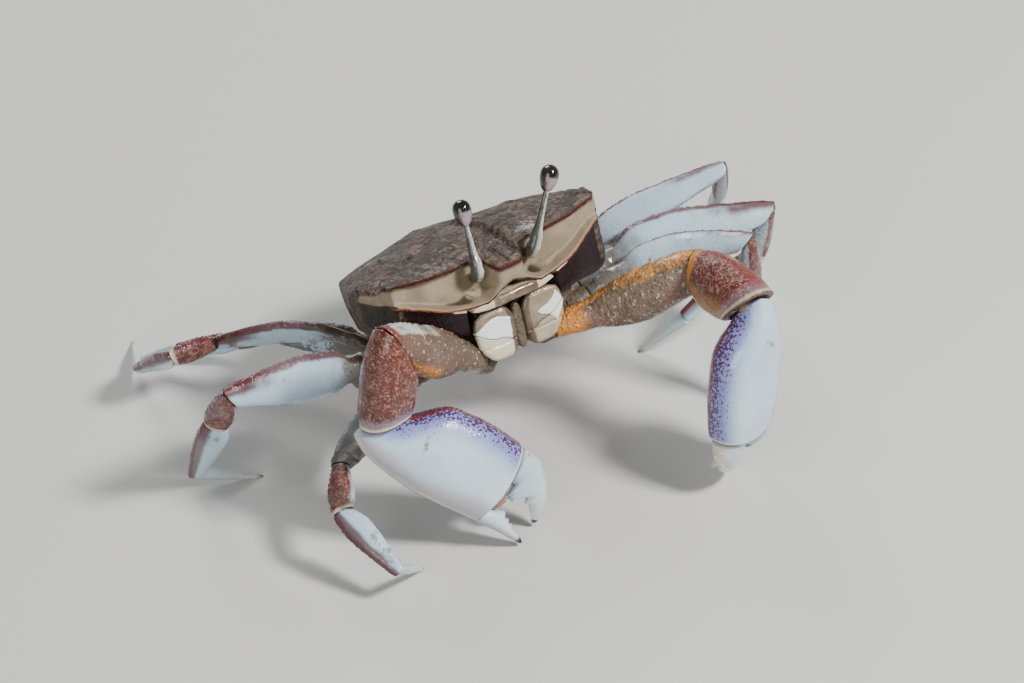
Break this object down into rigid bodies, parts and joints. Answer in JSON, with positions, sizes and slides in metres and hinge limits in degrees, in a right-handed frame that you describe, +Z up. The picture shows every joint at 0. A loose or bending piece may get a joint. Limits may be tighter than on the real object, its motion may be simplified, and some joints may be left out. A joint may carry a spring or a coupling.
{
  "type": "sentinel crab",
  "caption": "Sentinel crab with a broad trapezoid carapace, long eyestalks and pale claws, standing raised on its walking legs.",
  "frame": {"origin": "on the floor, under the middle of the bounding box", "axes": "the crab faces -Y, its left side is at +X, and +Z is up"},
  "size_m": [0.0614, 0.0506, 0.0286],
  "materials": {
    "shell": "wet muddy brown shell, finely granular",
    "mud": "dull shell coated with mud",
    "ivory": "smooth ivory shell",
    "blue_white": "smooth glossy blue-white shell",
    "red_brown": "red-brown mottled shell",
    "eye": "glossy black"
  },
  "bodies": {
    "root": {"carapace": "shell", "thorax": "mud", "abdomen": "mud", "maxilliped_right": "ivory", "eyestalk_right": "ivory", "eye_right": "eye", "antenna_right": "shell", "cheliped_right_merus": "red_brown", "cheliped_right_carpus": "red_brown", "cheliped_right_palm": "blue_white", "cheliped_right_finger": "ivory", "leg_2_right_merus": "blue_white", "leg_2_right_carpus": "red_brown", "leg_2_right_propodus": "blue_white", "leg_2_right_dactyl": "blue_white", "leg_3_right_merus": "blue_white", "leg_3_right_carpus": "red_brown", "leg_3_right_propodus": "blue_white", "leg_3_right_dactyl": "blue_white", "leg_4_right_merus": "blue_white", "leg_4_right_carpus": "red_brown", "leg_4_right_propodus": "blue_white", "leg_4_right_dactyl": "blue_white", "leg_5_right_merus": "blue_white", "leg_5_right_carpus": "red_brown", "leg_5_right_propodus": "blue_white", "leg_5_right_dactyl": "blue_white", "maxilliped_left": "ivory", "eyestalk_left": "ivory", "eye_left": "eye", "antenna_left": "shell", "cheliped_left_merus": "red_brown", "cheliped_left_carpus": "red_brown", "cheliped_left_palm": "blue_white", "cheliped_left_finger": "ivory", "leg_2_left_merus": "blue_white", "leg_2_left_carpus": "red_brown", "leg_2_left_propodus": "blue_white", "leg_2_left_dactyl": "blue_white", "leg_3_left_merus": "blue_white", "leg_3_left_carpus": "red_brown", "leg_3_left_propodus": "blue_white", "leg_3_left_dactyl": "blue_white", "leg_4_left_merus": "blue_white", "leg_4_left_carpus": "red_brown", "leg_4_left_propodus": "blue_white", "leg_4_left_dactyl": "blue_white", "leg_5_left_merus": "blue_white", "leg_5_left_carpus": "red_brown", "leg_5_left_propodus": "blue_white", "leg_5_left_dactyl": "blue_white"}
  },
  "joints": []
}
